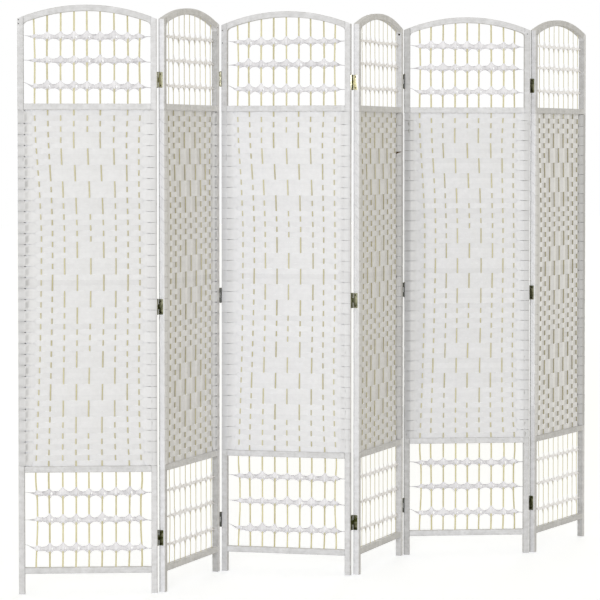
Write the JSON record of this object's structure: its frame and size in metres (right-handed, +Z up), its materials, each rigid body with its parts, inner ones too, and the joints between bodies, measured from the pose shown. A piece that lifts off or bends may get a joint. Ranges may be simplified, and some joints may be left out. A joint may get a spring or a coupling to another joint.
{
  "type": "folding room divider",
  "caption": "Free-standing folding screen of arched woven-paper panels on slim posts, with open lattices above and below, hinged edge to edge to stand in a zig-zag or fold flat.",
  "frame": {"origin": "on the floor, under the middle of the standing zig-zag's box", "axes": "+X along the run from the first panel to the last, +Y from the front to the back, +Z up"},
  "size_m": [2.0768, 0.3, 1.7],
  "materials": {
    "wrapped_frame": "wood wrapped in white paper tape",
    "rod": "natural peeled rod",
    "woven_paper": "matte white paper strip",
    "twined_paper": "matte twisted white paper strip",
    "hinge_brass": "antique brass",
    "hinge_pin": "antique brass"
  },
  "bodies": {
    "panel_1": {"panel_1_left_post": "wrapped_frame", "panel_1_right_post": "wrapped_frame", "panel_1_arch_rail": "wrapped_frame", "panel_1_cross_rails": "wrapped_frame", "panel_1_rods": "rod", "panel_1_weave": "woven_paper", "panel_1_lattice": "twined_paper", "panel_1_hinge_leaves": "hinge_brass", "hinge_pins_1_2": "hinge_pin"},
    "panel_2": {"panel_2_left_post": "wrapped_frame", "panel_2_right_post": "wrapped_frame", "panel_2_arch_rail": "wrapped_frame", "panel_2_cross_rails": "wrapped_frame", "panel_2_rods": "rod", "panel_2_weave": "woven_paper", "panel_2_lattice": "twined_paper", "panel_2_hinge_leaves": "hinge_brass", "hinge_pins_2_3": "hinge_pin"},
    "panel_3": {"panel_3_left_post": "wrapped_frame", "panel_3_right_post": "wrapped_frame", "panel_3_arch_rail": "wrapped_frame", "panel_3_cross_rails": "wrapped_frame", "panel_3_rods": "rod", "panel_3_weave": "woven_paper", "panel_3_lattice": "twined_paper", "panel_3_hinge_leaves": "hinge_brass", "hinge_pins_3_4": "hinge_pin"},
    "panel_4": {"panel_4_left_post": "wrapped_frame", "panel_4_right_post": "wrapped_frame", "panel_4_arch_rail": "wrapped_frame", "panel_4_cross_rails": "wrapped_frame", "panel_4_rods": "rod", "panel_4_weave": "woven_paper", "panel_4_lattice": "twined_paper", "panel_4_hinge_leaves": "hinge_brass", "hinge_pins_4_5": "hinge_pin"},
    "panel_5": {"panel_5_left_post": "wrapped_frame", "panel_5_right_post": "wrapped_frame", "panel_5_arch_rail": "wrapped_frame", "panel_5_cross_rails": "wrapped_frame", "panel_5_rods": "rod", "panel_5_weave": "woven_paper", "panel_5_lattice": "twined_paper", "panel_5_hinge_leaves": "hinge_brass", "hinge_pins_5_6": "hinge_pin"},
    "panel_6": {"panel_6_left_post": "wrapped_frame", "panel_6_right_post": "wrapped_frame", "panel_6_arch_rail": "wrapped_frame", "panel_6_cross_rails": "wrapped_frame", "panel_6_rods": "rod", "panel_6_weave": "woven_paper", "panel_6_lattice": "twined_paper", "panel_6_hinge_leaves": "hinge_brass"}
  },
  "joints": [
    {"name": "fold_1_2", "type": "hinge", "parent": "panel_1", "child": "panel_2", "pos_m": [-0.67706, -0.08386, 0.829], "axis": [0, 0, 1], "range_deg": [-65, 115]},
    {"name": "fold_2_3", "type": "hinge", "parent": "panel_2", "child": "panel_3", "pos_m": [-0.33725, 0.13407, 0.829], "axis": [0, 0, -1], "range_deg": [-81, 99]},
    {"name": "fold_3_4", "type": "hinge", "parent": "panel_3", "child": "panel_4", "pos_m": [-0.03548, -0.13407, 0.829], "axis": [0, 0, 1], "range_deg": [-81, 99]},
    {"name": "fold_4_5", "type": "hinge", "parent": "panel_4", "child": "panel_5", "pos_m": [0.30433, 0.08386, 0.829], "axis": [0, 0, -1], "range_deg": [-63, 117]},
    {"name": "fold_5_6", "type": "hinge", "parent": "panel_5", "child": "panel_6", "pos_m": [0.67419, -0.07791, 0.829], "axis": [0, 0, 1], "range_deg": [-55, 125]}
  ]
}
